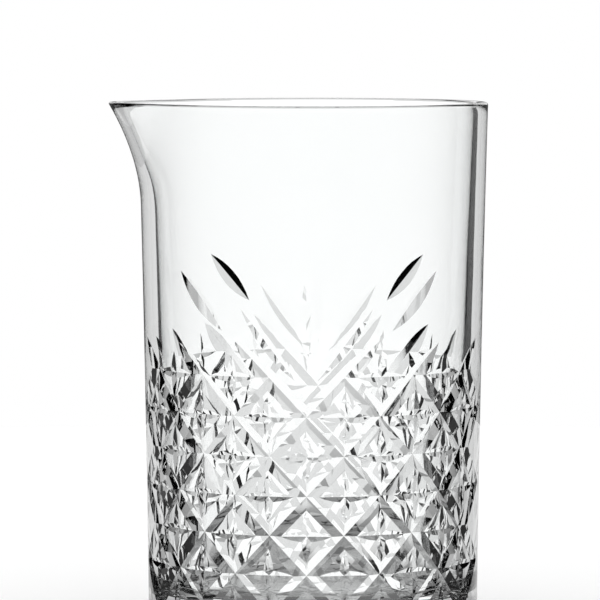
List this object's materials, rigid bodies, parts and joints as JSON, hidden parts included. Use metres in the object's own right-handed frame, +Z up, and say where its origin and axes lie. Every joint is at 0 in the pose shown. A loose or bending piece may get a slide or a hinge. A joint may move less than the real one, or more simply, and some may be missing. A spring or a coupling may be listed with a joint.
{
  "type": "mixing glass",
  "caption": "Clear pressed-glass cocktail mixing glass with a heavy base, a pouring spout, a diamond lattice of grooves with cut stars, and fans of leaf cuts above it.",
  "frame": {"origin": "on the axis of the round glass, at the plane of the underside it stands on", "axes": "+Z up along the axis to the rim, the spout points to -X, the fans of leaf cuts face -Y and +Y"},
  "size_m": [0.1055, 0.097, 0.15],
  "materials": {
    "clear_glass": "polished clear pressed glass"
  },
  "bodies": {
    "root": {"vessel": "clear_glass"}
  },
  "joints": []
}
